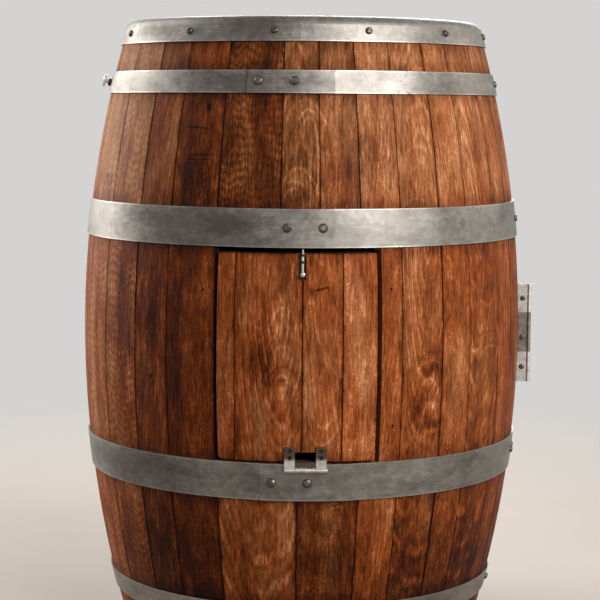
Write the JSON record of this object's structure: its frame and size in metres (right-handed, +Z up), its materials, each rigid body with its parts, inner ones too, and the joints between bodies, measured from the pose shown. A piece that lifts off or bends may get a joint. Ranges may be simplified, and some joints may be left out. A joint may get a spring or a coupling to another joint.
{
  "type": "barrel bar cabinet",
  "caption": "Oak cask fitted out as a standing bar cabinet, with a drop-down front flap held by a slide bolt and a tall hinged side door.",
  "frame": {"origin": "centre of the foot on the floor, on the axis of the cask", "axes": "+Z up along the cask, -Y out of the front flap, +X towards the side door hinge"},
  "size_m": [0.6741, 0.6621, 0.9168],
  "materials": {
    "oak_stave": "oiled",
    "oak_flap": "oiled",
    "oak_door": "oiled",
    "oak_bar_top": "oiled",
    "oak_head": "raw",
    "oak_shelf": "raw",
    "oak_batten": "raw",
    "hoop_steel": "weathered galvanised",
    "rivet_steel": "worn",
    "screw_steel": "dark",
    "stud_steel": "worn",
    "hinge_steel": "satin",
    "bolt_steel": "polished"
  },
  "bodies": {
    "cask": {"bar_top": "oak_bar_top", "door_hinge_leaf": "hinge_steel", "door_hinge_pin": "hinge_steel", "flap_hinge_tongue": "hinge_steel", "foot_head": "oak_head", "foot_hoop": "hoop_steel", "hinge_screws": "screw_steel", "hook_stud": "stud_steel", "hoop_rivets": "rivet_steel", "hoop_screws": "screw_steel", "lower_bulge_hoop": "hoop_steel", "lower_quarter_hoop": "hoop_steel", "shelf": "oak_shelf", "shelf_cleats": "oak_batten", "stave_01": "oak_stave", "stave_02": "oak_stave", "stave_03": "oak_stave", "stave_04": "oak_stave", "stave_05": "oak_stave", "stave_06": "oak_stave", "stave_07": "oak_stave", "stave_08": "oak_stave", "stave_09": "oak_stave", "stave_10": "oak_stave", "stave_11": "oak_stave", "stave_12": "oak_stave", "stave_13": "oak_stave", "stave_14": "oak_stave", "stave_15": "oak_stave", "stave_16": "oak_stave", "stave_17": "oak_stave", "stave_18": "oak_stave", "staves_above_door": "oak_stave", "staves_above_flap": "oak_stave", "staves_below_door": "oak_stave", "staves_below_flap": "oak_stave", "top_head": "oak_head", "top_hoop": "hoop_steel", "upper_bulge_hoop": "hoop_steel", "upper_quarter_hoop": "hoop_steel"},
    "flap": {"bolt_plate": "bolt_steel", "flap_battens": "oak_batten", "flap_hinge_leaf": "hinge_steel", "flap_hinge_pin": "hinge_steel", "flap_screws": "screw_steel", "flap_stave_1": "oak_flap", "flap_stave_2": "oak_flap", "flap_stave_3": "oak_flap", "flap_stave_4": "oak_flap"},
    "slide_bolt": {"bolt": "bolt_steel"},
    "side_door": {"door_battens": "oak_batten", "door_hinge_tongue": "hinge_steel", "door_hoop_piece": "hoop_steel", "door_pull": "stud_steel", "door_screws": "screw_steel", "door_stave_1": "oak_door", "door_stave_2": "oak_door", "door_stave_3": "oak_door", "door_stave_4": "oak_door"}
  },
  "joints": [
    {"name": "flap_hinge", "type": "hinge", "parent": "cask", "child": "flap", "pos_m": [0.01179, -0.32946, 0.3018], "axis": [0.9994, 0.0358, 0], "range_deg": [0, 180]},
    {"name": "side_door_hinge", "type": "hinge", "parent": "cask", "child": "side_door", "pos_m": [0.34261, -0.03601, 0.457], "axis": [0, 0, -1], "range_deg": [0, 180]},
    {"name": "slide_bolt_slide", "type": "slide", "parent": "flap", "child": "slide_bolt", "axis": [0, 0, 1], "range_m": [0, 0.01]}
  ]
}
